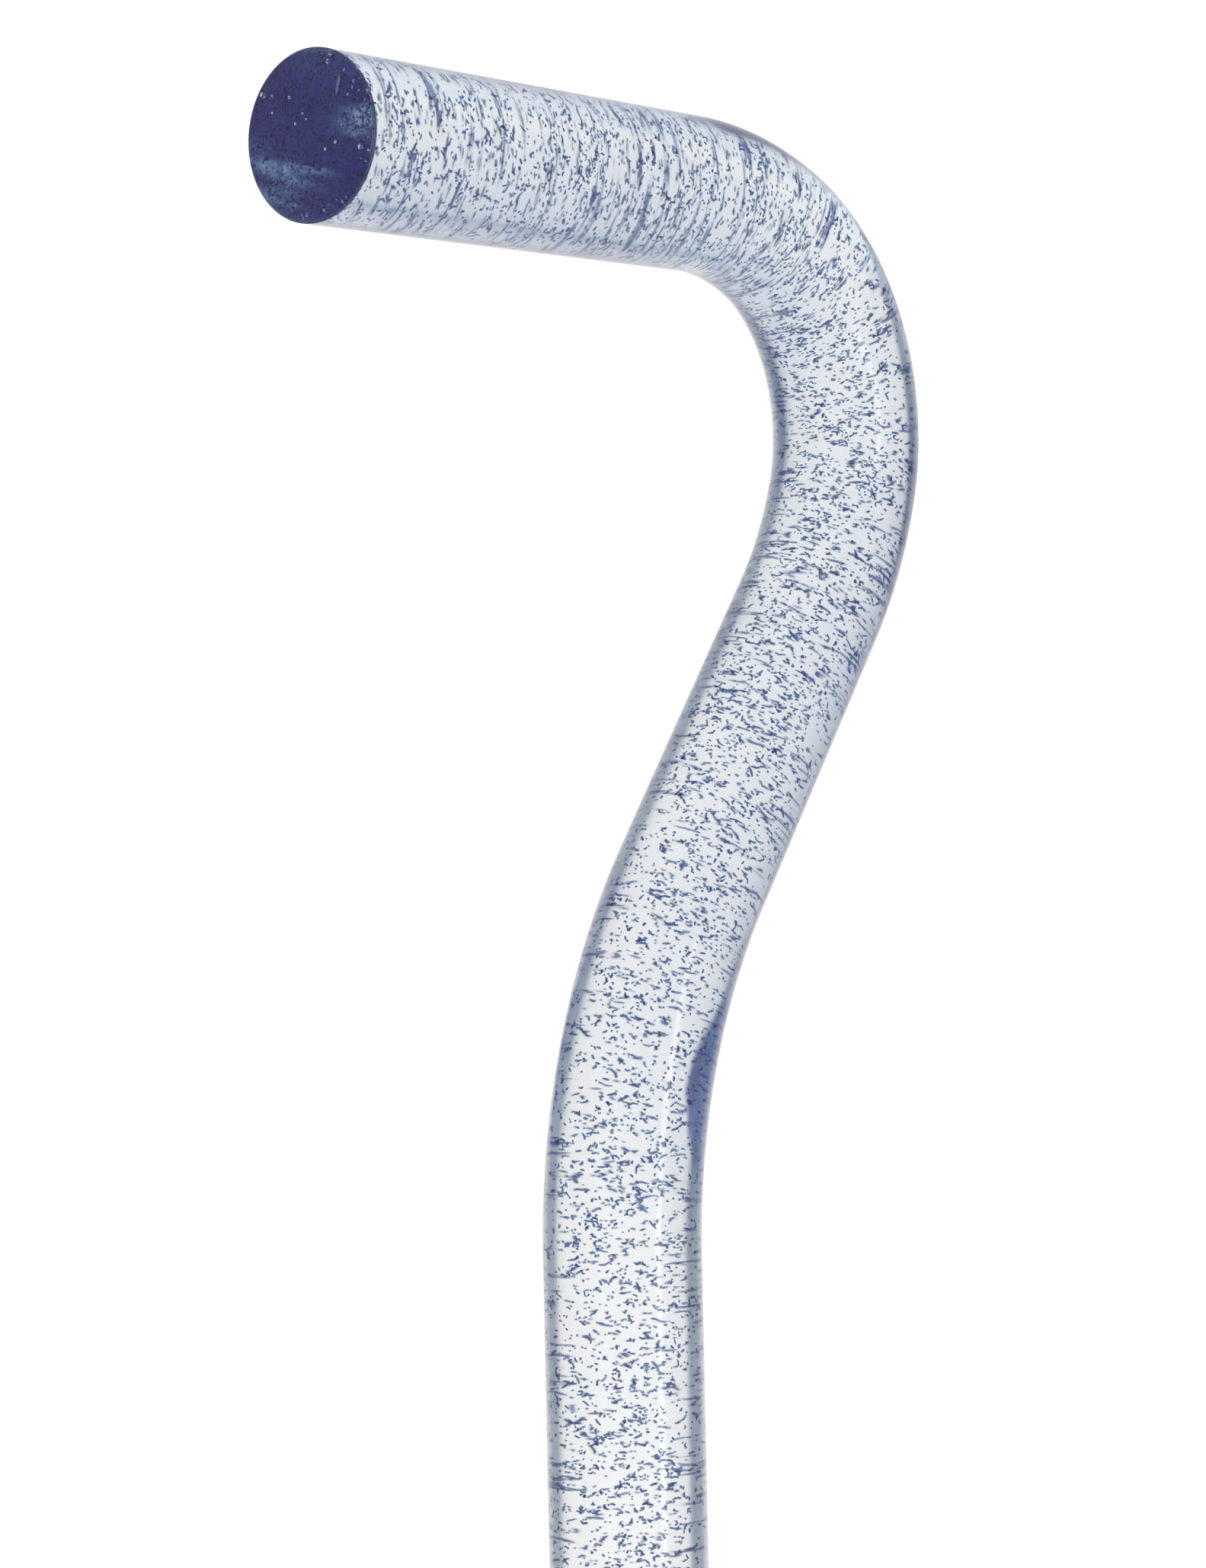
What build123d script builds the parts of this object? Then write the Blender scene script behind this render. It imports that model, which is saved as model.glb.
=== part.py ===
"""Offset-handle walking cane bent from one clear acrylic rod, on a push-on rubber ferrule.

Millimetres, +Z up. The origin is the centre of the ferrule's underside, on the shaft's axis. The
bends lie in the plane y = 0: the neck leans towards +X, and the handle's free end points to -X.
"""

import math
import os

from build123d import *

# Rod: one diameter from the foot to the handle's end.
rod_diameter = 22.2
shaft_length = 740.0
foot_chamfer = 0.8
handle_end_chamfer = 0.25

# Lower bend, which swings the neck out in front of the shaft, and the straight neck above it.
lower_bend_radius = 85.0
lower_bend_angle = 37.8
neck_length = 49.8

# Upper bend, which tightens from the neck to the crown and opens again into the handle.
back_bend_radius = 57.8
back_bend_angle = 20.6
crown_bend_radius = 30.3
crown_bend_angle = 84.6
front_bend_radius = 49.3
front_bend_angle = 24.3
handle_length = 79.0

# Ferrule: a rubber sleeve with a blind bore above a flared foot.
tip_grip_depth = 36.0
tip_floor = 11.0
tip_wall = 3.6
tip_bore_clearance = 0.05
mouth_chamfer = 0.7
lip_fillet = 1.2
foot_flare = 4.4
foot_side_height = 5.0
foot_taper_height = 8.0
foot_edge_fillet = 1.2
foot_waist_fillet = 6.0

# Raised bands round the sleeve, counted from its mouth down.
band_count = 3
band_height = 2.6
band_depth = 0.9
band_gap = 2.4
band_fillet = 0.6
band_mouth_gap = 4.5

# Ring grooves in the underside, counted from the foot's edge in.
tread_groove_count = 3
tread_edge_land = 4.7
tread_ring_width = 2.6
tread_groove_width = 1.4
tread_groove_depth = 1.5

# Steel washer on the bore's floor, under the rod's end.
washer_thickness = 1.5
washer_clearance = 0.25
washer_edge_chamfer = 0.2

rod_radius = rod_diameter / 2
bore_radius = rod_radius + tip_bore_clearance
sleeve_radius = bore_radius + tip_wall
foot_radius = sleeve_radius + foot_flare
foot_height = foot_side_height + foot_taper_height
rod_foot_z = tip_floor + washer_thickness
bend_start_z = rod_foot_z + shaft_length
tip_height = rod_foot_z + tip_grip_depth

# The rod's centre line: tangent straights and arcs in one plane, from the foot to the handle's end.
with BuildLine(Plane.XZ) as route:
    shaft = Line((0, rod_foot_z), (0, bend_start_z))
    lower_bend = JernArc(shaft @ 1, shaft % 1, lower_bend_radius, -lower_bend_angle)
    neck = PolarLine(lower_bend @ 1, neck_length, direction=lower_bend % 1)
    back_bend = JernArc(neck @ 1, neck % 1, back_bend_radius, back_bend_angle)
    crown_bend = JernArc(back_bend @ 1, back_bend % 1, crown_bend_radius, crown_bend_angle)
    front_bend = JernArc(crown_bend @ 1, crown_bend % 1, front_bend_radius, front_bend_angle)
    handle = PolarLine(front_bend @ 1, handle_length, direction=front_bend % 1)

# Shaft, neck and handle are one rod, cut square at both ends.
with BuildPart() as acrylic_rod:
    with BuildSketch(Plane(origin=shaft @ 0, z_dir=shaft % 0)):
        Circle(rod_radius)
    sweep(path=route.wire())
    chamfer(acrylic_rod.faces().sort_by(Axis.Z).first.edges(), foot_chamfer)
    chamfer(acrylic_rod.faces().sort_by(Axis.X).first.edges(), handle_end_chamfer)
acrylic_rod.part.label = "acrylic_rod"

with BuildPart() as rubber_tip:
    # Turned body: foot, taper and sleeve in one outline.
    with BuildSketch(Plane.XZ):
        with BuildLine():
            skin = FilletPolyline(
                (0, 0),
                (foot_radius, 0),
                (foot_radius, foot_side_height),
                (sleeve_radius, foot_height),
                (sleeve_radius, tip_height),
                (0, tip_height),
                radius=(foot_edge_fillet, foot_edge_fillet, foot_waist_fillet, lip_fillet),
            )
            Line(skin @ 1, skin @ 0)
        make_face()
    revolve(axis=Axis.Z)
    # Raised bands near the mouth, sunk into the sleeve by half the wall.
    for band in range(band_count):
        band_top = tip_height - band_mouth_gap - band * (band_height + band_gap)
        with BuildSketch(Plane.XZ):
            with Locations((sleeve_radius + band_depth, band_top)):
                Rectangle(band_depth + tip_wall / 2, band_height, align=(Align.MAX, Align.MAX))
            fillet(vertices().group_by(Axis.X)[-1], band_fillet)
        revolve(axis=Axis.Z)
    # Blind bore down to the washer's seat, eased at the mouth.
    with Locations((0, 0, tip_height)):
        Hole(bore_radius, depth=tip_height - tip_floor)
    mouth_edge = rubber_tip.edges().filter_by(GeomType.CIRCLE).group_by(Axis.Z)[-1]
    chamfer(mouth_edge.sort_by(SortBy.RADIUS).first, mouth_chamfer)
    # Ring grooves cut up into the underside.
    for groove in range(tread_groove_count):
        groove_radius = foot_radius - tread_edge_land
        groove_radius -= groove * (tread_ring_width + tread_groove_width)
        with BuildSketch(Plane.XY):
            Circle(groove_radius)
            Circle(groove_radius - tread_groove_width, mode=Mode.SUBTRACT)
        extrude(amount=tread_groove_depth, mode=Mode.SUBTRACT)
rubber_tip.part.label = "rubber_tip"

with BuildPart() as tip_washer:
    with BuildSketch(Plane.XY.offset(tip_floor)):
        Circle(bore_radius - washer_clearance)
    extrude(amount=washer_thickness)
    chamfer(tip_washer.edges().filter_by(GeomType.CIRCLE), washer_edge_chamfer)
tip_washer.part.label = "tip_washer"

# A swept rod's volume is its section times the length of its centre line, less the two chamfers.
rod_length = route.wire().length
section_volume = math.pi * rod_radius**2 * rod_length
overall_height = acrylic_rod.part.bounding_box().max.Z
print(f"rod {rod_length:.1f} mm long, cane {overall_height:.1f} mm high")
print(f"rod volume over section times length: {acrylic_rod.part.volume / section_volume:.4f}")

os.makedirs("parts", exist_ok=True)
export_step(acrylic_rod.part, "parts/acrylic_rod.step")
export_step(rubber_tip.part, "parts/rubber_tip.step")
export_step(tip_washer.part, "parts/tip_washer.step")
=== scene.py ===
# %% [markdown]
# # A walking cane bent from one clear acrylic rod
#
# This lesson dresses a walking cane: one round rod of clear acrylic with blue strands cast into it,
# bent hot into a swan neck and a level handle, on a push-on rubber ferrule. Clear plastic has almost
# no colour of its own. The eye sees the room in it, bent by its surface, and whatever is buried
# inside, so the work goes into three things: a very smooth surface, the thousands of strands inside
# it, and a studio that is worth looking at through it.

import math

import bpy
import numpy as np
from mathutils import Matrix, Vector


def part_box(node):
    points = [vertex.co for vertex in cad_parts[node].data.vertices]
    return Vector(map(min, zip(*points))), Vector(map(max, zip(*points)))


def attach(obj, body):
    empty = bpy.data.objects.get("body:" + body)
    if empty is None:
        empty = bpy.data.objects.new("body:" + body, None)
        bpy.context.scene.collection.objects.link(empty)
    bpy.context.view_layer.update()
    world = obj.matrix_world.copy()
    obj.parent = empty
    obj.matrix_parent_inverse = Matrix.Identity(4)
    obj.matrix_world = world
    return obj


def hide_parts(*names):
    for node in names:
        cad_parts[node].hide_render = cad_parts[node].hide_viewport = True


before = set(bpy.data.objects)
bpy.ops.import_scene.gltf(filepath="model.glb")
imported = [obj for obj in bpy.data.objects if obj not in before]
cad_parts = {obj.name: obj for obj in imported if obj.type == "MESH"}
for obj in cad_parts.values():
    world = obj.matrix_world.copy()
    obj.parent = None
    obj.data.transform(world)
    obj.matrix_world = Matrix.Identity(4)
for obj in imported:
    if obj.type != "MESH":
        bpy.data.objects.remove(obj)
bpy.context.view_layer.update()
print("nodes:", sorted(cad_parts))

# %% [markdown]
# ## The line that the rod follows
#
# A rod that is bent over formers is a chain of straights and circular arcs, each tangent to the one
# before. Every span therefore has a length and one curvature, and a straight is an arc with no
# curvature. The curvature of a spline through points would wander, and a lens as strong as this rod
# shows every wobble.

# %% Spans of the centre line, from the foot up to the handle's free end
rod_low, rod_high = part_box("acrylic_rod")
ROD_RADIUS = (rod_high.y - rod_low.y) / 2
FOOT_Z = rod_low.z


def straight(length):
    """A span with no turn: its length and a curvature of zero."""
    return length, 0.0


def bend(radius, turn):
    """A span of constant curvature: radius times turn, in degrees, long, and curved the same way."""
    return radius * math.radians(abs(turn)), math.copysign(1 / radius, turn)


SPANS = (
    straight(0.740),  # the shaft
    bend(radius=0.085, turn=37.8),  # the lower bend
    straight(0.0498),  # the neck
    bend(radius=0.0578, turn=-20.6),  # the back of the crown
    bend(radius=0.0303, turn=-84.6),  # the crown
    bend(radius=0.0493, turn=-24.3),  # the front of the crown
    straight(0.079),  # the handle
)


def step_along(x, z, heading, length, curvature):
    """Point and heading after a distance along an arc.

    The heading, measured from +Z towards +X, grows by curvature times distance. The chord is the
    distance times sin(h)/h, where h is half that turn, and it points along the mean heading.
    """
    turn = curvature * length
    chord = length * np.sinc(turn / (2 * np.pi))
    mean_heading = heading + turn / 2
    return x + chord * np.sin(mean_heading), z + chord * np.cos(mean_heading), heading + turn


span_starts = [(0.0, 0.0, FOOT_Z, 0.0)]
for span_length, span_curvature in SPANS:
    distance, *state = span_starts[-1]
    span_starts.append((distance + span_length, *step_along(*state, span_length, span_curvature)))
span_starts = np.array(span_starts)
span_curvatures = np.array([curvature for _, curvature in SPANS])
ROD_LENGTH = span_starts[-1, 0]
BEND_START = span_starts[1, 0]
print("rod length in millimetres:", round(ROD_LENGTH * 1000, 1))


def rod_point(along, across, sideways):
    """World points of the rod's material, from distances in it.

    along is the distance up the centre line, across the offset in the plane of the bends, to the
    right of the way up, and sideways the offset along Y. A bend carries its material with it, so
    what lies outside the centre line is stretched and what lies inside is pressed together.
    """
    along, across, sideways = np.broadcast_arrays(along, across, sideways)
    span = np.clip(np.searchsorted(span_starts[:-1, 0], along, side="right") - 1, 0, len(SPANS) - 1)
    start = span_starts[span]
    x, z, heading = step_along(
        start[..., 1], start[..., 2], start[..., 3], along - start[..., 0], span_curvatures[span]
    )
    return np.stack([x + across * np.cos(heading), sideways, z - across * np.sin(heading)], axis=-1)


# %% [markdown]
# ## The camera
#
# A product photographer stands well back with a long lens, a little off the handle's end, at the
# height of the grip. The camera comes before the looks, because a clear object is judged through it.

# %% Place the camera
CAMERA_AT = Vector((-0.3868, -0.3051, 0.8152))
CAMERA_HEADING = math.radians(38.417)
CAMERA_RISE = math.radians(0.348)
CAMERA_ROLL = math.radians(-1.228)
CAMERA_LENS = 81.26
CAMERA_SENSOR = 36
CAMERA_NEAREST = 0.01

camera_data = bpy.data.cameras.new("camera")
camera_data.lens = CAMERA_LENS
camera_data.sensor_width = CAMERA_SENSOR
camera_data.clip_start = CAMERA_NEAREST
camera = bpy.data.objects.new("camera", camera_data)
# an unturned camera looks straight down, with its top towards +Y
camera.matrix_world = (
    Matrix.Translation(CAMERA_AT)
    @ Matrix.Rotation(CAMERA_HEADING - math.pi / 2, 4, "Z")
    @ Matrix.Rotation(CAMERA_RISE + math.pi / 2, 4, "X")
    @ Matrix.Rotation(CAMERA_ROLL, 4, "Z")
)
bpy.context.scene.collection.objects.link(camera)
bpy.context.scene.camera = camera
print("camera to grip in millimetres:", round(CAMERA_AT.length * 1000))

# %% [markdown]
# ## Mesh helpers
#
# Each surface below is a grid: rows of points round a section, one row after another. NumPy works
# out the whole grid at once and hands it to Blender in single calls, which is far quicker than
# adding points one by one.

# %% Grids and triangles into meshes


def add_piece(name, points, faces, body, smooth_angle=None):
    """A mesh object at the origin that rides on a CAD body; faces is an array of corner numbers."""
    mesh = bpy.data.meshes.new(name)
    mesh.vertices.add(len(points))
    mesh.vertices.foreach_set("co", np.asarray(points, np.float32).ravel())
    corners = faces.shape[1]
    mesh.loops.add(faces.size)
    mesh.loops.foreach_set("vertex_index", faces.astype(np.int32).ravel())
    mesh.polygons.add(len(faces))
    mesh.polygons.foreach_set("loop_start", np.arange(0, faces.size, corners, dtype=np.int32))
    mesh.update(calc_edges=True)
    mesh.validate()
    if smooth_angle is not None:
        mesh.shade_smooth()
        mesh.set_sharp_from_angle(angle=math.radians(smooth_angle))
    piece = bpy.data.objects.new(name, mesh)
    bpy.context.scene.collection.objects.link(piece)
    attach(piece, body)
    print(name, "has", len(mesh.polygons), "faces")
    return piece


def ring_faces(rings, sides):
    """Triangles between neighbouring rings, closed all the way round, pointing away from the axis.

    Ring r, side k has number r times sides plus k.
    """
    ring = np.arange(rings - 1)[:, None] * sides
    side = np.arange(sides)[None, :]
    following = (side + 1) % sides
    low_left, low_right = ring + side, ring + following
    high_left, high_right = low_left + sides, low_right + sides
    lower = np.stack([low_left, low_right, high_right], axis=-1).reshape(-1, 3)
    upper = np.stack([low_left, high_right, high_left], axis=-1).reshape(-1, 3)
    return np.concatenate([lower, upper])


def without_slivers(faces):
    """The triangles whose three corners are three different points."""
    return faces[(faces != np.roll(faces, 1, axis=1)).all(axis=1)]


def closed_skin(ring_points):
    """Points and triangles of rings of points whose first and last rings have no radius.

    Each of these two rings is merged: every corner on it is renumbered to a single point.
    """
    rings, sides = ring_points.shape[:2]
    number = np.arange(rings * sides).reshape(rings, sides)
    number[0] = number[0, 0]
    number[-1] = number[-1, 0]
    faces = without_slivers(number.ravel()[ring_faces(rings, sides)])
    used, faces = np.unique(faces, return_inverse=True)
    return ring_points.reshape(-1, 3)[used], faces.reshape(-1, 3)


def repeated(faces, points_each, count):
    """The triangles of many copies of a shape whose points are numbered copy after copy."""
    return (faces[None] + points_each * np.arange(count)[:, None, None]).reshape(-1, 3)


def turned(outline, sides):
    """A grid of points: an outline of radii and heights, turned round the Z axis in even steps."""
    turn = np.linspace(0, 2 * np.pi, sides, endpoint=False)[None, :]
    radius, height = outline[:, :1], outline[:, 1:]
    height = np.broadcast_to(height, (len(outline), sides))
    return np.stack([radius * np.cos(turn), radius * np.sin(turn), height], axis=-1)


# %% [markdown]
# ## The rod's skin
#
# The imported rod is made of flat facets, which is plenty for a painted tube but not for a lens: each
# facet would show as a step in the view through it. So the rod is made again, much finer, from the
# same spans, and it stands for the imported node. It is turned as a straight round bar, with rings
# that lie close together where the bends will be, and then bent, point by point. The bar's points
# are kept with the skin, for the material to read its marks from, so that they follow the bends.

# %% Sweep the rod
ROD_SIDES = 144
FOOT_CHAMFER = 0.0008
END_CHAMFER = 0.00025
DEGREES_PER_RING = 1.2
STRAIGHT_RING_GAP = 0.012
CAP_RINGS = 4


def ring_distances():
    """Distances of the rings up the rod: evenly in each span, by angle in bends and length else."""
    stretches = []
    for begin, (length, curvature) in zip(span_starts[:-1, 0], SPANS):
        degrees = math.degrees(abs(curvature) * length)
        steps = max(math.ceil(degrees / DEGREES_PER_RING), math.ceil(length / STRAIGHT_RING_GAP))
        stretches.append(np.linspace(begin, begin + length, steps, endpoint=False))
    inner = np.concatenate(stretches)
    return inner[(inner > 2 * FOOT_CHAMFER) & (inner < ROD_LENGTH - 4 * END_CHAMFER)]


def bar_outline():
    """Radius and distance of every ring: cap, chamfer, wall, chamfer, cap."""
    cap = np.linspace(0, 1, CAP_RINGS + 1)
    foot = np.stack([(ROD_RADIUS - FOOT_CHAMFER) * cap, np.zeros_like(cap)], axis=1)
    end = np.stack([(ROD_RADIUS - END_CHAMFER) * cap[::-1], np.full_like(cap, ROD_LENGTH)], axis=1)
    wall = np.concatenate([[FOOT_CHAMFER], ring_distances(), [ROD_LENGTH - END_CHAMFER]])
    return np.concatenate([foot, np.stack([np.full_like(wall, ROD_RADIUS), wall], axis=1), end])


bar_grid = turned(bar_outline(), ROD_SIDES)
rod_grid = rod_point(bar_grid[..., 2], bar_grid[..., 0], bar_grid[..., 1])
rod = add_piece("clear_rod", *closed_skin(rod_grid), "shaft", smooth_angle=30)
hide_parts("acrylic_rod")
bar_points = closed_skin(bar_grid)[0]
rod_surface = rod.data.attributes.new("rod_surface", "FLOAT_VECTOR", "POINT")
rod_surface.data.foreach_set("vector", bar_points.astype(np.float32).ravel())
print("straightened length:", round(float(bar_points[:, 2].max()) * 1000, 1))

# %% [markdown]
# ## Strands in the plastic
#
# The blue in the rod is thousands of short dyed strands, stirred in before the plastic set. They
# could be painted on the surface, but then they would not swim, stretch and double as the eye
# moves, which is what gives the rod its depth. Here each one is a real sliver inside the rod, and
# the rod's own lens draws those at the back out into long streaks.
#
# Half of the strands are little more than dots, so they get the fewest faces: a point, a ring of
# three and a point. The longer ones get three rings, enough to curl and to keep blunt ends, as
# snipped fibres have.

# %% Shape of one strand
STRAND_SECTION = np.array([[1, 0], [-0.5, 0.87], [-0.5, -0.87]])
SECTION_SIDES = len(STRAND_SECTION)
DOT_STATIONS = np.array([0.0])
CURL_STATIONS = np.array([-0.35, 0.0, 0.35])
FLATNESS = 0.85
BLUNT = 4


def strand_faces(count, stations):
    """Triangles of many strands: a point, rings, a point, numbered strand after strand."""
    last = 1 + len(stations) * SECTION_SIDES
    number = np.arange(1 - SECTION_SIDES, last + SECTION_SIDES).clip(0, last)
    faces = without_slivers(number[ring_faces(len(stations) + 2, SECTION_SIDES)])
    return repeated(faces, last + 1, count)


def strand_points(
    centre, ahead, side, length, turn, width, stations, flatness=FLATNESS, taper=BLUNT
):
    """Points of many strands at once, in the rod's own distances.

    A strand's middle line is an arc: at share t of its length it lies length times t times
    sin(h)/h from the middle, with h half of turn times t, in the mean direction between ahead and
    side. Its section is a triangle, width across and flatness times that thick, which narrows
    towards the ends by twice t to the power of taper.
    """
    third = np.cross(ahead, side)
    share = np.concatenate([[-0.5], stations, [0.5]])[None, :]
    heading = turn[:, None] * share
    reach = length[:, None] * share * np.sinc(heading / (2 * np.pi))
    middle = (
        centre[:, None]
        + (reach * np.cos(heading / 2))[..., None] * ahead[:, None]
        + (reach * np.sin(heading / 2))[..., None] * side[:, None]
    )
    outward = np.cos(heading)[..., None] * side[:, None] - np.sin(heading)[..., None] * ahead[:, None]
    fullness = 1 - np.abs(2 * stations) ** taper
    half_width = (width[:, None] / 2 * fullness[None, :])[..., None, None]
    rings = (
        middle[:, 1:-1, None]
        + half_width * STRAND_SECTION[:, :1] * outward[:, 1:-1, None]
        + half_width * flatness * STRAND_SECTION[:, 1:] * third[:, None, None]
    ).reshape(len(centre), -1, 3)
    return np.concatenate([middle[:, :1], rings, middle[:, -1:]], axis=1).reshape(-1, 3)


# %% Scatter the strands
STRANDS_PER_METRE = 41000
HANDLE_CROWDING = 1.2
FOLLOWER_SHARE = 0.15
KNOT_SPREAD = 0.0007
SKIN_MARGIN = 0.00035
DOT_SHARE = 0.50
DOT_LENGTHS = (0.00030, 0.00054)
DOT_WIDTHS = (0.00032, 0.00052)
DOT_TURN = 0.01
LONG_SHARE = 0.06
LONG_LENGTHS = (0.0011, 0.0018)
CURL_LENGTHS = (0.0005, 0.0010)
CURL_WIDTHS = (0.00031, 0.00045)
BOWED_SHARE, HOOKED_SHARE = 0.25, 0.40
BOWED, HOOKED, CURLED = (10, 45), (45, 120), (120, 200)
random = np.random.default_rng(20)


def unit_pairs(count):
    """Two random directions per strand, at right angles, even over all directions."""
    ahead = random.normal(size=(count, 3))
    ahead /= np.linalg.norm(ahead, axis=1, keepdims=True)
    side = np.cross(ahead, random.normal(size=(count, 3)))
    side /= np.linalg.norm(side, axis=1, keepdims=True)
    return ahead, side


def over_disc(reach, count):
    """Two random offsets per strand, even over a disc."""
    radius = reach * np.sqrt(random.uniform(0, 1, count))
    angle = random.uniform(0, 2 * np.pi, count)
    return radius * np.cos(angle), radius * np.sin(angle)


def scatter(low, high, share):
    """Centres of a share of the strands between two distances up the rod, even over its volume.

    One in seven follows another closely, which makes the small knots and crossings. The handle is
    a little more crowded than the rest.
    """
    crowding = HANDLE_CROWDING if low > BEND_START else 1
    count = round((high - low) * STRANDS_PER_METRE * share * crowding)
    along = random.uniform(low, high, count)
    centre = np.stack([along, *over_disc(ROD_RADIUS - 2 * SKIN_MARGIN, count)], axis=1)
    follower = random.uniform(size=count) < FOLLOWER_SHARE
    leader = random.integers(0, count, count)
    near = centre[leader] + random.normal(0, KNOT_SPREAD, (count, 3))
    centre[follower] = near[follower]
    return centre


def keep_inside(points):
    """Points pushed back under the rod's skin: each is drawn in to the greatest depth allowed."""
    reach = np.hypot(points[:, 1], points[:, 2])
    squeeze = np.minimum(1, (ROD_RADIUS - SKIN_MARGIN) / np.maximum(reach, 1e-9))
    inside = points * np.stack([np.ones_like(squeeze), squeeze, squeeze], axis=1)
    inside[:, 0] = np.clip(inside[:, 0], SKIN_MARGIN, ROD_LENGTH - SKIN_MARGIN)
    return inside


def straight_strands(centre, lengths, widths):
    """Points of the shortest strands, which are straight; lengths and widths are two limits."""
    count = len(centre)
    ahead, side = unit_pairs(count)
    length = random.uniform(*lengths, count)
    width = random.uniform(*widths, count)
    return strand_points(centre, ahead, side, length, np.full(count, DOT_TURN), width, DOT_STATIONS)


def curled_strands(centre):
    """Points of the longer strands: bowed, hooked or curled half way round, a few of them long."""
    count = len(centre)
    is_long = random.uniform(size=count) < LONG_SHARE / (1 - DOT_SHARE)
    length = np.where(
        is_long, random.uniform(*LONG_LENGTHS, count), random.uniform(*CURL_LENGTHS, count)
    )
    bow = random.uniform(size=count)
    turn = np.radians(np.select(
        [bow < BOWED_SHARE, bow < BOWED_SHARE + HOOKED_SHARE],
        [random.uniform(*BOWED, count), random.uniform(*HOOKED, count)],
        random.uniform(*CURLED, count),
    ))
    ahead, side = unit_pairs(count)
    width = random.uniform(*CURL_WIDTHS, count)
    return strand_points(centre, ahead, side, length, turn, width, CURL_STATIONS)


def add_strand_piece(name, points, faces, tint):
    """A piece of strands, given in the rod's own distances, with a tint for every point."""
    piece = add_piece(name, rod_point(*keep_inside(points).T), faces, "shaft")
    attribute = piece.data.attributes.new("tint", "FLOAT", "POINT")
    attribute.data.foreach_set("value", tint.astype(np.float32))
    return piece


def add_strands(name, low, high):
    """One piece of strands between two distances up the rod, with a tint per strand."""
    centre = scatter(low, high, DOT_SHARE)
    dots = straight_strands(centre, DOT_LENGTHS, DOT_WIDTHS)
    dot_faces = strand_faces(len(centre), DOT_STATIONS)
    dot_tint = np.repeat(random.uniform(size=len(centre)), len(dots) // len(centre))
    centre = scatter(low, high, 1 - DOT_SHARE)
    curls = curled_strands(centre)
    curl_faces = strand_faces(len(centre), CURL_STATIONS)
    curl_tint = np.repeat(random.uniform(size=len(centre)), len(curls) // len(centre))
    return add_strand_piece(
        name,
        np.concatenate([dots, curls]),
        np.concatenate([dot_faces, curl_faces + len(dots)]),
        np.concatenate([dot_tint, curl_tint]),
    )


strand_pieces = [
    add_strands("strands_handle", BEND_START + 0.08, ROD_LENGTH),
    add_strands("strands_neck", BEND_START - 0.15, BEND_START + 0.08),
    add_strands("strands_upper_shaft", BEND_START - 0.40, BEND_START - 0.15),
    add_strands("strands_middle_shaft", BEND_START - 0.60, BEND_START - 0.40),
    add_strands("strands_lower_shaft", 0, BEND_START - 0.60),
]

# %% [markdown]
# ## Air bubbles behind the cut end
#
# Acrylic that is cast with something stirred in keeps a few bubbles. They can't be seen against the
# light, but behind the polished end, where the rod looks deep blue, they sparkle: the small ones as
# white specks and the larger ones near the rim as fine rings.

# %% Place the bubbles
BUBBLE_SEGMENTS = 12
BUBBLE_RINGS = 8
BUBBLES_BY_PLACE = (
    # right and up in shares of the rod's radius; depth under the end and diameter in millimetres
    (-0.59, 0.53, 0.5, 0.42),
    (-0.33, 0.48, 0.6, 0.46),
    (-0.61, 0.34, 0.7, 0.38),
    (-0.13, 0.27, 0.5, 0.30),
    (-0.08, 0.20, 0.6, 0.28),
    (-0.26, 0.17, 0.8, 0.40),
    (0.36, -0.12, 0.5, 0.44),
    (0.20, -0.18, 0.5, 0.42),
    (0.27, 0.81, 0.9, 0.62),
    (0.33, 0.90, 0.7, 0.80),
    (0.58, 0.39, 0.5, 0.34),
    (0.72, 0.67, 0.6, 0.50),
    (0.88, 0.40, 0.5, 0.50),
    (0.72, -0.22, 0.9, 0.80),
    (0.90, 0.14, 0.6, 0.46),
    (-0.75, 0.56, 0.7, 0.90),
)
RIM_BUBBLES = 26
RIM_BUBBLE_ANGLES = (-0.85 * np.pi, 0.35 * np.pi)
RIM_BUBBLE_REACH = (0.78, 0.94)
RIM_BUBBLE_DEPTHS = (0.5, 1.6)
RIM_BUBBLE_SIZES = (0.18, 0.44)


def bubble_balls(centre, radius):
    """Points and triangles of many small balls: rings of points at even angles from pole to pole."""
    polar = np.linspace(0, np.pi, BUBBLE_RINGS + 1)
    outline = np.stack([np.sin(polar), -np.cos(polar)], axis=1)
    points, faces = closed_skin(turned(outline, BUBBLE_SEGMENTS))
    balls = centre[:, None] + radius[:, None, None] * points
    return balls.reshape(-1, 3), repeated(faces, len(points), len(centre))


rim_angle = random.uniform(*RIM_BUBBLE_ANGLES, RIM_BUBBLES)
rim_reach = random.uniform(*RIM_BUBBLE_REACH, RIM_BUBBLES)
rim_depth = random.uniform(*RIM_BUBBLE_DEPTHS, RIM_BUBBLES)
rim_size = random.uniform(*RIM_BUBBLE_SIZES, RIM_BUBBLES)
scattered = [rim_reach * np.cos(rim_angle), rim_reach * np.sin(rim_angle), rim_depth, rim_size]
bubble_right, bubble_up, bubble_depth, bubble_size = np.concatenate(
    [np.transpose(BUBBLES_BY_PLACE), scattered], axis=1
)
bubble_centres = rod_point(
    ROD_LENGTH - bubble_depth / 1000, bubble_up * ROD_RADIUS, -bubble_right * ROD_RADIUS
)
bubble_points, bubble_faces = bubble_balls(bubble_centres, bubble_size / 2000)
bubbles = add_piece("air_bubbles", bubble_points, bubble_faces, "shaft", smooth_angle=60)

# %% [markdown]
# ## Flaws behind the cut end
#
# Two hairlines of trapped air show as pale lines behind the end: a short sliver near the top and a
# thin arc that follows the rim. They are shaped as the strands are, only with more rings, because
# they are long.

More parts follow.
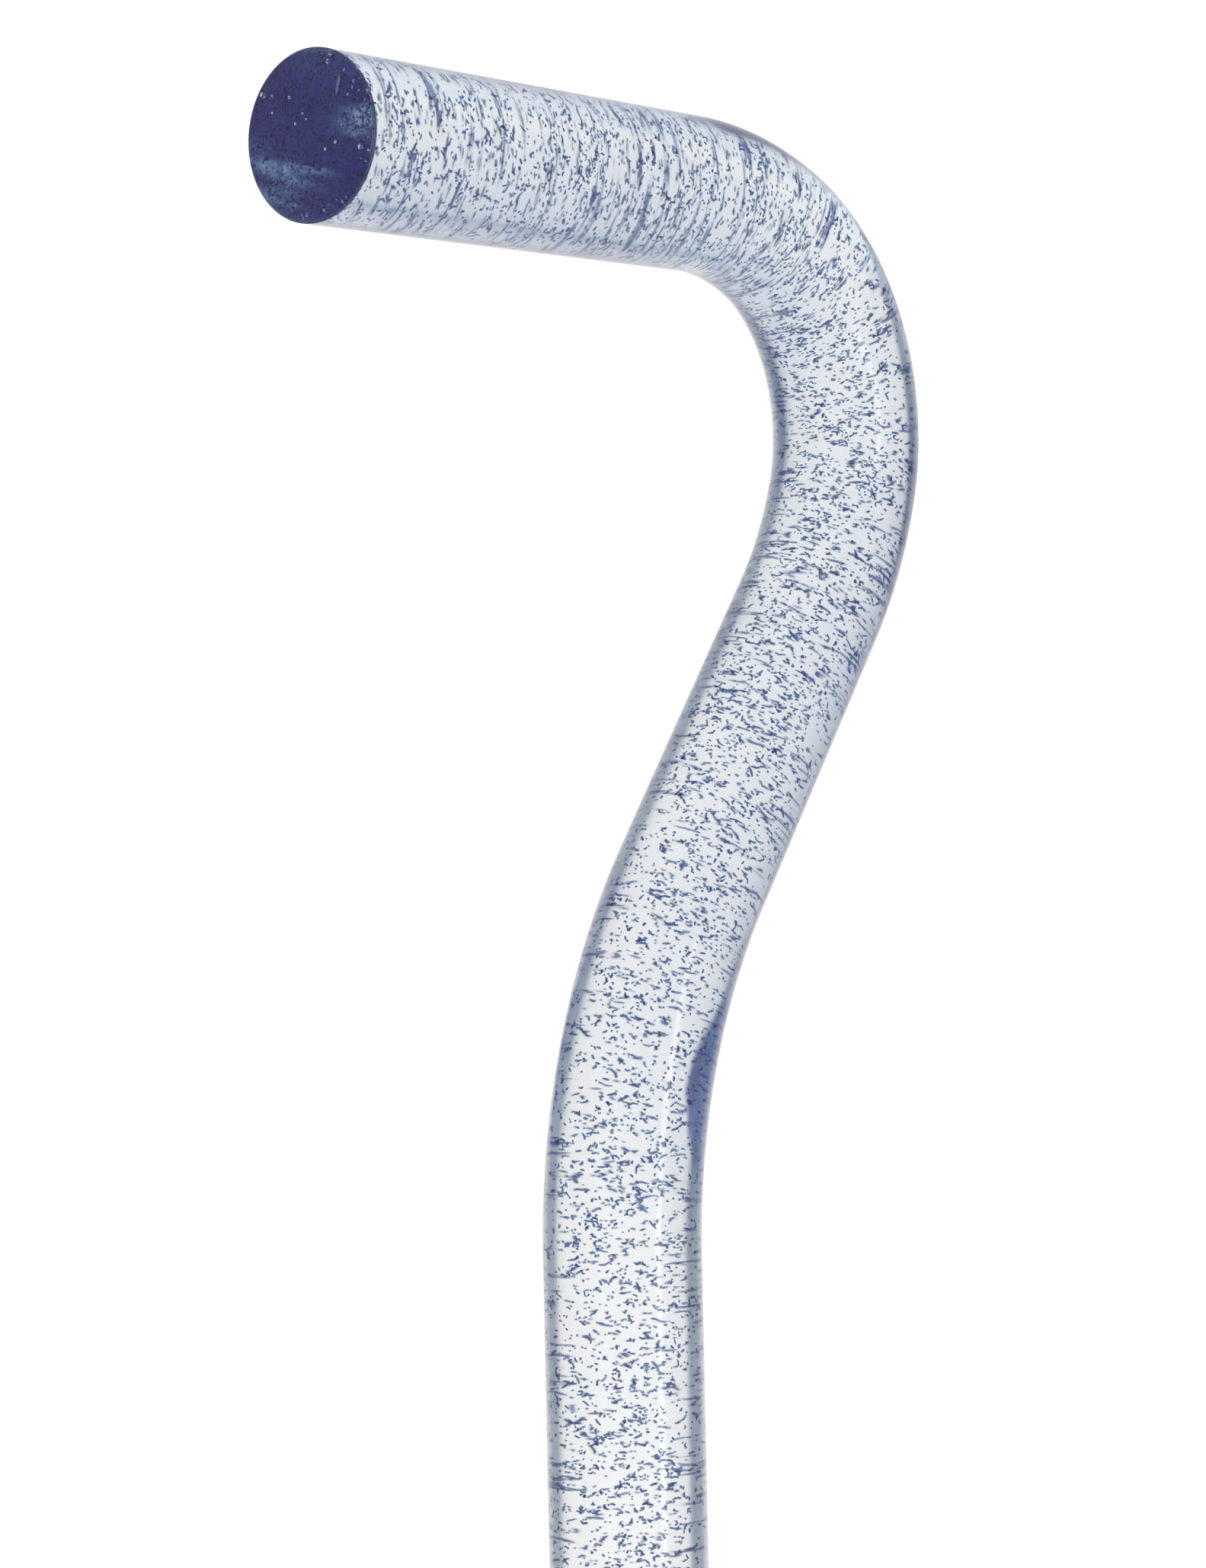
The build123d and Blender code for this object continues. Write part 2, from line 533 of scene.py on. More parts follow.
# %% Make the flaws
FLAW_STATIONS = np.linspace(-0.46, 0.46, 13)
FLAW_DEPTH = 0.0006
SLIVER_RIGHT, SLIVER_UP = 0.43 * ROD_RADIUS, 0.53 * ROD_RADIUS
SLIVER_LEAN = math.radians(16)
ARC_REACH = 0.93 * ROD_RADIUS
ARC_MIDDLE = math.radians(-7)
SPINDLE = 2

# the second coordinate is up across the end face and the third points left
flaw_centre = np.array([
    [ROD_LENGTH - FLAW_DEPTH, SLIVER_UP, -SLIVER_RIGHT],
    [
        ROD_LENGTH - FLAW_DEPTH,
        ARC_REACH * math.sin(ARC_MIDDLE),
        -ARC_REACH * math.cos(ARC_MIDDLE),
    ],
])
flaw_ahead = np.array([
    [0.0, math.cos(SLIVER_LEAN), -math.sin(SLIVER_LEAN)],
    [0.0, math.cos(ARC_MIDDLE), math.sin(ARC_MIDDLE)],
])
flaw_points = strand_points(
    flaw_centre,
    flaw_ahead,
    np.cross(flaw_ahead, [-1.0, 0.0, 0.0]),
    length=np.array([0.0031, 0.0068]),
    turn=np.array([0.02, 0.66]),
    width=np.array([0.00060, 0.00022]),
    stations=FLAW_STATIONS,
    flatness=0.4,
    taper=SPINDLE,
)
flaw_faces = strand_faces(len(flaw_centre), FLAW_STATIONS)
flaw_lines = add_piece(
    "hairline_flaws", rod_point(*keep_inside(flaw_points).T), flaw_faces, "shaft"
)

# %% [markdown]
# ## Specks behind the cut end
#
# The saw and the polish leave the darkest crumbs of dye right under the end, where nothing veils
# them. They are the shortest strands again, all at the dark end of the tints.

# %% Make the specks
SPECK_COUNT = 380
SPECK_REACH = 0.96 * ROD_RADIUS
SPECK_DEPTHS = (0.0004, 0.0010)
SPECK_LENGTHS = (0.00028, 0.00050)
SPECK_WIDTHS = (0.00026, 0.00044)

speck_across, speck_sideways = over_disc(SPECK_REACH, SPECK_COUNT)
speck_along = ROD_LENGTH - random.uniform(*SPECK_DEPTHS, SPECK_COUNT)
speck_centre = np.stack([speck_along, speck_across, speck_sideways], axis=1)
speck_points = straight_strands(speck_centre, SPECK_LENGTHS, SPECK_WIDTHS)
end_specks = add_strand_piece(
    "end_specks",
    speck_points,
    strand_faces(SPECK_COUNT, DOT_STATIONS),
    tint=np.zeros(len(speck_points)),
)

# %% [markdown]
# ## The ferrule
#
# Rubber ferrules are turned shapes: a sleeve with raised bands, a flared foot, a blind bore for the
# rod and ring grooves underneath for grip.

# %% Turn the ferrule
_, tip_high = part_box("rubber_tip")
washer_low, washer_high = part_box("tip_washer")
TIP_SIDES = 128
CORNER_STEPS = 6
BORE_CLEARANCE = 0.00005
TIP_WALL = 0.0036
MOUTH_CHAMFER = 0.0007
LIP_FILLET = 0.0012
FOOT_SIDE_HEIGHT = 0.005
FOOT_TAPER_HEIGHT = 0.008
FOOT_EDGE_FILLET = 0.0012
FOOT_WAIST_FILLET = 0.006
BAND_COUNT = 3
BAND_HEIGHT = 0.0026
BAND_DEPTH = 0.0009
BAND_GAP = 0.0024
BAND_FILLET = 0.0006
BAND_MOUTH_GAP = 0.0045
TREAD_GROOVES = 3
TREAD_EDGE_LAND = 0.0047
TREAD_RING = 0.0026
TREAD_GROOVE = 0.0014
TREAD_DEPTH = 0.0015
TREAD_FILLET = 0.0003


def rounded(corners):
    """An outline through corners, each given as radius, height and fillet radius.

    A fillet touches both legs at its radius over the tangent of half the corner's angle, and its
    points are those of the quadratic curve between the two touching points, bent to the corner.
    """
    corners = np.array(corners, float)
    places, fillets = corners[:, :2], corners[:, 2]
    outline = [places[:1]]
    for before, here, after, fillet in zip(places, places[1:], places[2:], fillets[1:]):
        back = (before - here) / np.linalg.norm(before - here)
        on = (after - here) / np.linalg.norm(after - here)
        if fillet == 0:
            outline.append(here[None])
            continue
        half = math.acos(np.clip(back @ on, -1, 1)) / 2
        touch = fillet / math.tan(half)
        middle = here + (back + on) / np.linalg.norm(back + on) * fillet / math.sin(half)
        first, last = here + back * touch - middle, here + on * touch - middle
        share = np.linspace(0, 1, CORNER_STEPS + 1)[:, None]
        mixed = first * (1 - share) + last * share
        outline.append(middle + fillet * mixed / np.linalg.norm(mixed, axis=1, keepdims=True))
    outline.append(places[-1:])
    return np.concatenate(outline)


def band_corners(wall, bottom):
    """Corners of one raised band on a wall, from its lower edge up."""
    return [
        (wall, bottom, 0),
        (wall + BAND_DEPTH, bottom, BAND_FILLET),
        (wall + BAND_DEPTH, bottom + BAND_HEIGHT, BAND_FILLET),
        (wall, bottom + BAND_HEIGHT, 0),
    ]


def groove_corners(outer):
    """Corners of one ring groove in the underside, from its inner edge out."""
    inner = outer - TREAD_GROOVE
    return [
        (inner, 0, TREAD_FILLET),
        (inner, TREAD_DEPTH, TREAD_FILLET),
        (outer, TREAD_DEPTH, TREAD_FILLET),
        (outer, 0, TREAD_FILLET),
    ]


bore = ROD_RADIUS + BORE_CLEARANCE
sleeve = bore + TIP_WALL
foot = tip_high.x
tip_top = tip_high.z
corners = [(0, 0, 0)]
for groove in reversed(range(TREAD_GROOVES)):
    corners += groove_corners(foot - TREAD_EDGE_LAND - groove * (TREAD_RING + TREAD_GROOVE))
corners += [
    (foot, 0, FOOT_EDGE_FILLET),
    (foot, FOOT_SIDE_HEIGHT, FOOT_EDGE_FILLET),
    (sleeve, FOOT_SIDE_HEIGHT + FOOT_TAPER_HEIGHT, FOOT_WAIST_FILLET),
]
for band in reversed(range(BAND_COUNT)):
    band_top = tip_top - BAND_MOUTH_GAP - band * (BAND_HEIGHT + BAND_GAP)
    corners += band_corners(sleeve, band_top - BAND_HEIGHT)
corners += [
    (sleeve, tip_top, LIP_FILLET),
    (bore + MOUTH_CHAMFER, tip_top, 0),
    (bore, tip_top - MOUTH_CHAMFER, 0),
    (bore, washer_low.z, 0),
    (0, washer_low.z, 0),
]
tip_skin = closed_skin(turned(rounded(corners), TIP_SIDES))
ferrule = add_piece("rubber_ferrule", *tip_skin, "tip", smooth_angle=32)
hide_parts("rubber_tip")

# %% [markdown]
# ## Materials
#
# Four substances meet here: clear acrylic, dyed strands, moulded rubber and zinc-plated steel. Some
# of their marks are of one kind, such as a fine grain, a rubbed edge or settled dust. Each kind is
# built once, as a node group, and placed in every material that shows it, with its own sizes.

# %% Material helpers
WHITE = (1.0, 1.0, 1.0)


def feed(tree, socket, value):
    """Links an input to a socket or to a node's first output, or writes a plain value into it."""
    if isinstance(value, bpy.types.Node):
        value = value.outputs[0]
    if isinstance(value, bpy.types.NodeSocket):
        tree.links.new(value, socket)
    elif socket.type == "RGBA":
        socket.default_value = (*value, 1)
    else:
        socket.default_value = value


def add_node(tree, kind, inputs=(), **settings):
    """A shader node of a kind, with its settings, and its inputs fed by name or number."""
    node = tree.nodes.new("ShaderNode" + kind)
    for name, value in settings.items():
        setattr(node, name, value)
    for key, value in dict(inputs).items():
        feed(tree, node.inputs[key], value)
    return node


def calculate(tree, operation, *values, clamp=False):
    """A Math node; each of its inputs is a node, a socket or a number."""
    return add_node(tree, "Math", enumerate(values), operation=operation, use_clamp=clamp)


def split(tree, vector):
    """The X, Y and Z of a vector."""
    return add_node(tree, "SeparateXYZ", {0: vector}).outputs


def hypotenuse(tree, first, second):
    """The square root of the sum of two squares."""
    first_square = calculate(tree, "MULTIPLY", first, first)
    return calculate(tree, "SQRT", calculate(tree, "MULTIPLY_ADD", second, second, first_square))


def object_place(tree):
    """Where a point lies in its object's own coordinates."""
    return add_node(tree, "TexCoord").outputs["Object"]


def bumped(tree, height, distance):
    """A normal that is tilted by a height."""
    return add_node(tree, "Bump", {"Height": height, "Distance": distance})


def mixed_colour(tree, share, first, second, blend="MIX"):
    """A colour made of two others; each input is a node, a socket, a number or a colour."""
    inputs = {0: share, 6: first, 7: second}
    return add_node(tree, "Mix", inputs, data_type="RGBA", blend_type=blend).outputs[2]


def mixed_shader(tree, share, first, second):
    """A shader between two others, by the share that the second has."""
    return add_node(tree, "MixShader", {0: share, 1: first, 2: second})


def either_ray(tree, first, second):
    """One on the two kinds of ray that are named, and nothing on every other kind."""
    path = add_node(tree, "LightPath").outputs
    return calculate(tree, "MAXIMUM", path[first], path[second])


def ramp(tree, factor, stops):
    """A colour by a factor; each stop is a position and a colour, or a number for a grey."""
    node = add_node(tree, "ValToRGB", {0: factor})
    elements = node.color_ramp.elements
    while len(elements) < len(stops):
        elements.new(0.5)
    for element, (position, colour) in zip(elements, stops):
        element.position = position
        element.color = (*np.broadcast_to(colour, 3), 1)
    return node


def new_material(name):
    """A material without nodes, and its node tree."""
    material = bpy.data.materials.new(name)
    material.use_nodes = True
    material.node_tree.nodes.clear()
    return material, material.node_tree


def new_group(name, inputs, outputs):
    """A shader node group and what it is given; all its sockets but Vector hold one number."""
    tree = bpy.data.node_groups.new(name, "ShaderNodeTree")
    for side, names in (("INPUT", inputs), ("OUTPUT", outputs)):
        for socket in names:
            kind = "NodeSocketVector" if socket == "Vector" else "NodeSocketFloat"
            tree.interface.new_socket(socket, in_out=side, socket_type=kind)
    return tree, tree.nodes.new("NodeGroupInput").outputs


def finish_group(tree, **results):
    """Links what a group has worked out to its outputs."""
    output = tree.nodes.new("NodeGroupOutput")
    for name, socket in results.items():
        feed(tree, output.inputs[name], socket)
    print("group", tree.name, "gives", list(results))
    return tree


def place_group(tree, group, **inputs):
    """What a group gives in a material that feeds its inputs by name."""
    return add_node(tree, "Group", inputs, node_tree=group).outputs


def dress(piece, material):
    """Gives a piece, or a CAD node, one material all over."""
    if piece.data.materials:
        piece.data.materials[0] = material
    else:
        piece.data.materials.append(material)


# %% [markdown]
# ## Grain, used by the acrylic, the rubber and the steel
#
# No made surface is even. Cast acrylic has faint drawn lines, rubber the matt grain of its mould and
# plated steel a soft cloudiness. All three are the same noise at another scale and stretch, so the
# group takes the coordinates to read and the scale, and gives a height for bumps and a value
# between two limits for roughness or colour.

# %% The grain group


def grain_group():
    """Noise from 0 to 1 as Height, and the same between Low and High as Value."""
    tree, given = new_group("grain", ("Vector", "Scale", "Low", "High"), ("Height", "Value"))
    noise = add_node(tree, "TexNoise", {
        "Vector": given["Vector"], "Scale": given["Scale"], "Detail": 4.0, "Roughness": 0.55,
    })
    spread = add_node(tree, "MapRange", {
        "Value": noise, "From Min": 0.3, "From Max": 0.7, "To Min": given["Low"], "To Max": given["High"],
    })
    return finish_group(tree, Height=noise, Value=spread)


grain = grain_group()


def grained(tree, place, scale, low=0.0, high=1.0):
    """The Height and the Value of the grain group in a material."""
    return place_group(tree, grain, Vector=place, Scale=scale, Low=low, High=high)


# %% [markdown]
# ## Rubbed rims and settled dust, used by the rubber and the steel
#
# Both small parts are turned shapes, and wear finds their rims. A rim is a circle round the upright
# axis, so the distance from it is the square root of two squares: how far the radius is from the
# rim's radius, and how far the height is from the rim's height. The same mask darkens the rim of
# the rod's cut end. Dust lies where a surface looks up, in patches.

# %% The rim wear group and the dust group


def rim_wear_group():
    """A mask that is 1 on a circle round the Z axis and fades over Spread, broken up by noise."""
    tree, given = new_group("rim_wear", ("Vector", "Radius", "Height", "Spread"), ("Mask",))
    place = split(tree, given["Vector"])
    radius = hypotenuse(tree, place["X"], place["Y"])
    beside = calculate(tree, "SUBTRACT", radius, given["Radius"])
    above = calculate(tree, "SUBTRACT", place["Z"], given["Height"])
    away = hypotenuse(tree, above, beside)
    noise = add_node(tree, "TexNoise", {"Vector": given["Vector"], "Scale": 420.0})
    broken = calculate(tree, "MULTIPLY", calculate(tree, "ADD", noise, 0.5), away)
    share = calculate(tree, "DIVIDE", broken, given["Spread"])
    return finish_group(tree, Mask=calculate(tree, "SUBTRACT", 1.0, share, clamp=True))


def dust_group():
    """A patchy mask on what looks up: the normal's Z, times noise, times Amount."""
    tree, given = new_group("settled_dust", ("Vector", "Amount"), ("Mask",))
    facing = split(tree, add_node(tree, "NewGeometry").outputs["Normal"])
    up = calculate(tree, "MULTIPLY_ADD", facing["Z"], 0.8, 0.2, clamp=True)
    noise = add_node(tree, "TexNoise", {"Vector": given["Vector"], "Scale": 900.0, "Detail": 5.0})
    patches = calculate(tree, "POWER", noise, 2.0)
    patchy = calculate(tree, "MULTIPLY", up, patches)
    mask = calculate(tree, "MULTIPLY", patchy, given["Amount"], clamp=True)
    return finish_group(tree, Mask=mask)


rim_wear = rim_wear_group()
settled_dust = dust_group()

# %% [markdown]
# ## Clear acrylic
#
# Acrylic bends light by 1.49 and takes a little red out of it over a long way, which is why its cut
# ends look deeper than its sides. Three things would spoil it: a rough surface, facets, and strands
# left in the dark. A renderer can't find the lamps through a lens, so rays that carry soft light to
# and from the strands pass the skin straight on, as through thin film, while the rays that the eye
# follows are bent as they should be. The skin itself has faint lines drawn along it by the mould,
# read from the straight bar's coordinates. The cut end was polished by hand and keeps a trace of
# haze: what lies just behind it stays sharp, and what lies deep in the rod blurs.

# %% Clear acrylic
ACRYLIC_IOR = 1.49
DEPTH_TINT = (0.15, 0.69, 0.92)
DEPTH_DENSITY = 6.5
SOFT_LIGHT_TINT = (0.95, 0.955, 0.965)
CLOUD_SCALE = 45.0
SKIN_TINTS = (0.985, 0.992, 1.0), WHITE
SKIN_HAZE = 0.1
END_HAZE = 0.12
END_DEPTH = 0.00005
# a darker tint along the rim of the cut end
END_RIM_DARK = (0.06, 0.06, 0.14)
RIM_WIDTH = 0.00045
RIM_FROST = 0.35
DIE_LINE_STRETCH = 0.015
DIE_LINE_SCALE = 620.0
DIE_LINE_HEIGHT = 0.000012


def passed_by_soft_light(tree, shader):
    """The shader, but clear to shadow rays and diffuse rays, so that soft light gets through it."""
    clear = add_node(tree, "BsdfTransparent", {"Color": SOFT_LIGHT_TINT})
    soft = either_ray(tree, "Is Shadow Ray", "Is Diffuse Ray")
    return mixed_shader(tree, soft, shader, clear)


def acrylic_material():
    """Refraction with faint drawn lines, a breath of tint in the skin and blue in the depth."""
    material, tree = new_material("clear_acrylic")
    bar_place = add_node(tree, "Attribute", attribute_name="rod_surface").outputs["Vector"]
    stretched = add_node(tree, "Mapping", {"Vector": bar_place, "Scale": (1, 1, DIE_LINE_STRETCH)})
    lines = grained(tree, stretched, DIE_LINE_SCALE)
    clouds = grained(tree, bar_place, CLOUD_SCALE)
    rim = place_group(
        tree, rim_wear, Vector=bar_place, Radius=ROD_RADIUS, Height=ROD_LENGTH, Spread=RIM_WIDTH
    )["Mask"]
    tint = mixed_colour(tree, clouds["Value"], *SKIN_TINTS)
    on_end = calculate(tree, "GREATER_THAN", split(tree, bar_place)["Z"], ROD_LENGTH - END_DEPTH)
    frosted = calculate(tree, "MULTIPLY_ADD", rim, RIM_FROST, SKIN_HAZE)
    glass = add_node(tree, "BsdfPrincipled", {
        "Transmission Weight": 1.0,
        "IOR": ACRYLIC_IOR,
        "Base Color": mixed_colour(tree, rim, tint, END_RIM_DARK),
        "Roughness": calculate(tree, "MULTIPLY_ADD", on_end, END_HAZE - SKIN_HAZE, frosted),
        "Normal": bumped(tree, lines["Height"], DIE_LINE_HEIGHT),
    })
    depth = add_node(tree, "VolumeAbsorption", {"Color": DEPTH_TINT, "Density": DEPTH_DENSITY})
    add_node(tree, "OutputMaterial", {"Surface": passed_by_soft_light(tree, glass), "Volume": depth})
    return material


dress(rod, acrylic_material())

# %% [markdown]
# ## Dyed strands
#
# A strand is a thin sliver of dyed plastic, so it does two things at once: it scatters the light
# that falls on it as deep indigo, and it lets part of the light behind it through as slate blue.
# That is why the strands look slate against the light, yet add up to a deep indigo when the eye
# looks down the length of the rod. A Transparent shader mixed with a Principled one does both.

# %% Dyed strands
STRAND_OPENNESS = 0.5
SPECK_OPENNESS = 0.25
STRAND_GLOW = (0.48, 0.78, 0.98)
STRAND_DYES = (
    # tint of the strand from 0 to 1, and the colour of its dye
    (0.00, (0.012, 0.010, 0.040)),
    (0.14, (0.024, 0.016, 0.075)),
    (0.24, (0.086, 0.026, 0.190)),
    (0.50, (0.104, 0.028, 0.232)),
    (0.84, (0.076, 0.034, 0.240)),
    (0.94, (0.080, 0.110, 0.400)),
    (1.00, (0.160, 0.045, 0.210)),
)


def strand_material(name, openness):
    """Indigo, blue and violet pigment, one tint per strand, partly open to the light behind."""
    material, tree = new_material(name)
    tint = add_node(tree, "Attribute", attribute_name="tint").outputs["Fac"]
    pigment = add_node(tree, "BsdfPrincipled", {
        "Base Color": ramp(tree, tint, STRAND_DYES), "Roughness": 0.6, "Specular IOR Level": 0.05,
    })
    glow = add_node(tree, "BsdfTransparent", {"Color": STRAND_GLOW})
    strand = mixed_shader(tree, openness, pigment, glow)
    add_node(tree, "OutputMaterial", {"Surface": strand})
    return material


dyed_strands = strand_material("dyed_strands", STRAND_OPENNESS)
for piece in strand_pieces:
    dress(piece, dyed_strands)
dress(end_specks, strand_material("dense_specks", SPECK_OPENNESS))

# %% [markdown]
# ## Trapped air
#
# Light that enters a bubble goes from acrylic into air, so the shader is that of a clear ball with
# the refraction turned over. A hairline is too thin for that: it only turns the light round, so it
# is plainly pale, and cloudy along its length.

# %% Air bubbles and flaws
FLAW_TINTS = (0.10, 0.10, 0.22), (0.20, 0.20, 0.36)


def bubble_material():
    """Air seen from inside the acrylic."""
    material, tree = new_material("trapped_air")
    air = add_node(tree, "BsdfGlass", {"IOR": 1 / ACRYLIC_IOR, "Roughness": 0.0})
    add_node(tree, "OutputMaterial", {"Surface": passed_by_soft_light(tree, air)})
    return material


def flaw_material():
    """A pale, cloudy hairline."""
    material, tree = new_material("pale_hairline")
    clouds = grained(tree, object_place(tree), 900.0)["Value"]
    pale = mixed_colour(tree, clouds, *FLAW_TINTS)
    shader = add_node(tree, "BsdfPrincipled", {"Base Color": pale, "Roughness": 0.35})
    add_node(tree, "OutputMaterial", {"Surface": shader})
    return material


dress(bubbles, bubble_material())
dress(flaw_lines, flaw_material())

# %% [markdown]
# ## Rubber and steel
#
# A ferrule is moulded in two halves, so a faint parting line runs up each side. Its rubber is matt
# and slightly cloudy, dust settles on its foot, and the lower edge, which rolls over the ground at
# every step, is scuffed pale. The washer inside is stamped and zinc plated: cloudy and finely
# turned, rubbed bright along its rim.

# %% Moulded rubber
RUBBER_TINTS = (0.026, 0.027, 0.030), (0.042, 0.043, 0.046)
RUBBER_SCUFFED = (0.15, 0.148, 0.142)
RUBBER_DUST = (0.23, 0.225, 0.21)
SCUFF_HEIGHT = 0.0008
SCUFF_WIDTH = 0.0032
SCUFF_ROUGHNESS = 0.2
PARTING_LINE_WIDTH = 0.00018
PARTING_LINE_RISE = 2.2
MOULD_GRAIN_HEIGHT = 0.00004


def rubber_material():
    """Dark grey rubber with mould grain, parting lines, dust and a scuffed lower edge."""
    material, tree = new_material("moulded_rubber")
    place = object_place(tree)
    fine = grained(tree, place, 2600.0, low=0.52, high=0.74)
    broad = grained(tree, place, 110.0)
    wear = place_group(
        tree, rim_wear, Vector=place, Radius=tip_high.x, Height=SCUFF_HEIGHT, Spread=SCUFF_WIDTH
    )["Mask"]
    dust = place_group(tree, settled_dust, Vector=place, Amount=0.55)["Mask"]
    rubber = mixed_colour(tree, broad["Value"], *RUBBER_TINTS)
    scuffed = mixed_colour(tree, wear, rubber, RUBBER_SCUFFED)
    off_seam = calculate(tree, "ABSOLUTE", split(tree, place)["Y"])
    off_share = calculate(tree, "DIVIDE", off_seam, PARTING_LINE_WIDTH)
    seam = calculate(tree, "SUBTRACT", 1.0, off_share, clamp=True)
    height = calculate(tree, "MULTIPLY_ADD", seam, PARTING_LINE_RISE, fine["Height"])
    shader = add_node(tree, "BsdfPrincipled", {
        "Base Color": mixed_colour(tree, dust, scuffed, RUBBER_DUST),
        "Roughness": calculate(tree, "MULTIPLY_ADD", wear, SCUFF_ROUGHNESS, fine["Value"]),
        "Normal": bumped(tree, height, MOULD_GRAIN_HEIGHT),
    })
    add_node(tree, "OutputMaterial", {"Surface": shader})
    return material


dress(ferrule, rubber_material())

# %% Zinc-plated steel
ZINC_TINTS = (0.56, 0.58, 0.62), (0.70, 0.70, 0.70)
ZINC_RUBBED = (0.80, 0.79, 0.76)
ZINC_DUST = (0.40, 0.39, 0.36)
TURNED_RING_GAP = 0.00035
TURNED_RING_HEIGHT = 0.000004


def steel_material():
    """Cloudy plated steel with fine turned rings and a rubbed rim."""
    material, tree = new_material("zinc_plated_steel")
    place = object_place(tree)
    clouds = grained(tree, place, 300.0, low=0.26, high=0.44)
    wear = place_group(
        tree, rim_wear, Vector=place, Radius=washer_high.x, Height=washer_high.z, Spread=0.0009
    )["Mask"]
    dust = place_group(tree, settled_dust, Vector=place, Amount=0.25)["Mask"]
    plated = mixed_colour(tree, clouds["Height"], *ZINC_TINTS)
    rubbed = mixed_colour(tree, wear, plated, ZINC_RUBBED)
    axes = split(tree, place)
    radius = hypotenuse(tree, axes["X"], axes["Y"])
    phase = calculate(tree, "MULTIPLY", radius, 2 * math.pi / TURNED_RING_GAP)
    rings = calculate(tree, "SINE", phase)
    shader = add_node(tree, "BsdfPrincipled", {
        "Metallic": 1.0,
        "Base Color": mixed_colour(tree, dust, rubbed, ZINC_DUST),
        "Roughness": clouds["Value"],
        "Normal": bumped(tree, rings, TURNED_RING_HEIGHT),
    })
    add_node(tree, "OutputMaterial", {"Surface": shader})
    return material


dress(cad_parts["tip_washer"], steel_material())
print("materials:", [material.name for material in bpy.data.materials])

# %% [markdown]
# ## The studio
#
# Clear things are lit by what stands behind and beside them. The backdrop straight behind is bright
# and gives the rod its clear middle. Beyond its sides stand two dark cards: the edge of a round rod
# bends the view by forty degrees and more, so it shows the cards as two dark lines, which draw the
# rod's outline against a white page. Glass and the eye should see this studio, but the strands and
# the rubber are better lit by plain, even light. Light Path keeps the two apart.

# %% The floor
FLOOR_RADIUS = 3.0
FLOOR_SIDES = 96
FLOOR_ALBEDO = (0.9, 0.9, 0.9)
FLOOR_PALE_TO = 0.15
FLOOR_WHITE_FROM = 1.1
FLOOR_BY_ANGLE = (
    # degrees left of the camera's heading; the far card's foot stands on the floor from 40 on
    (-12, (0.94, 0.92, 0.95)),
    (2, (0.98, 0.97, 0.99)),
    (18, (1.04, 1.03, 1.04)),
    (36, (1.02, 1.01, 1.03)),
    (42, (0.44, 0.50, 0.60)),
    (52, (0.38, 0.44, 0.54)),
    (60, (0.52, 0.58, 0.67)),
    (76, (0.80, 0.82, 0.88)),
)


def new_surface(name, points, faces):
    """A mesh object for the studio, made of lists of points and of faces."""
    mesh = bpy.data.meshes.new(name)
    mesh.from_pydata(points.tolist(), [], faces)
    surface = bpy.data.objects.new(name, mesh)
    bpy.context.scene.collection.objects.link(surface)
    return surface


floor_turn = np.linspace(0, 2 * np.pi, FLOOR_SIDES, endpoint=False)
floor_rim = np.stack([np.cos(floor_turn), np.sin(floor_turn), np.zeros(FLOOR_SIDES)], axis=1)
floor = new_surface("floor", FLOOR_RADIUS * floor_rim, [list(range(FLOOR_SIDES))])
# the ferrule stands on the floor, so when the two come apart it is the cane that is lifted
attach(floor, "tip")
print("floor with", FLOOR_SIDES, "sides")


def angle_ramp(tree, radians, stops):
    """A colour by an angle in radians; the stops give degrees from -90 to 90 and colours."""
    share = calculate(tree, "MULTIPLY_ADD", radians, 1 / math.pi, 0.5)
    return ramp(tree, share, [(0.5 + degrees / 180, colour) for degrees, colour in stops])


def floor_material():
    """Pale near the cane, where it takes the shadow, and white further off, into the backdrop.

    Glass and mirrors see it by the angle from the camera's heading, with the card's foot on it, and
    soft light only ever sees the pale floor.
    """
    material, tree = new_material("pale_floor")
    place = split(tree, object_place(tree))
    bearing = calculate(tree, "ARCTAN2", place["Y"], place["X"])
    floor_angle = calculate(tree, "SUBTRACT", bearing, CAMERA_HEADING)
    seen = add_node(tree, "Emission", {"Color": angle_ramp(tree, floor_angle, FLOOR_BY_ANGLE)})
    pale = add_node(tree, "BsdfPrincipled", {"Base Color": FLOOR_ALBEDO, "Roughness": 0.6})
    white = add_node(tree, "Emission", {"Color": WHITE})
    fade = add_node(tree, "MapRange", {
        "Value": hypotenuse(tree, place["X"], place["Y"]),
        "From Min": FLOOR_PALE_TO,
        "From Max": FLOOR_WHITE_FROM,
    }, interpolation_type="SMOOTHSTEP")
    path = add_node(tree, "LightPath").outputs
    far = calculate(tree, "MULTIPLY", fade, path["Is Camera Ray"])
    near_or_far = mixed_shader(tree, far, pale, white)
    bent = either_ray(tree, "Is Glossy Ray", "Is Transmission Ray")
    shown = mixed_shader(tree, bent, near_or_far, seen)
    add_node(tree, "OutputMaterial", {"Surface": shown})
    return material


dress(floor, floor_material())

# %% [markdown]
# ## What stands round the rod
#
# The world is read by direction. Its elevation picks the backdrop's brightness from a ramp, bright
# below and dimmer above, as with a backdrop lit from its foot. Its azimuth from the camera's heading
# says whether a dark card is in the way.

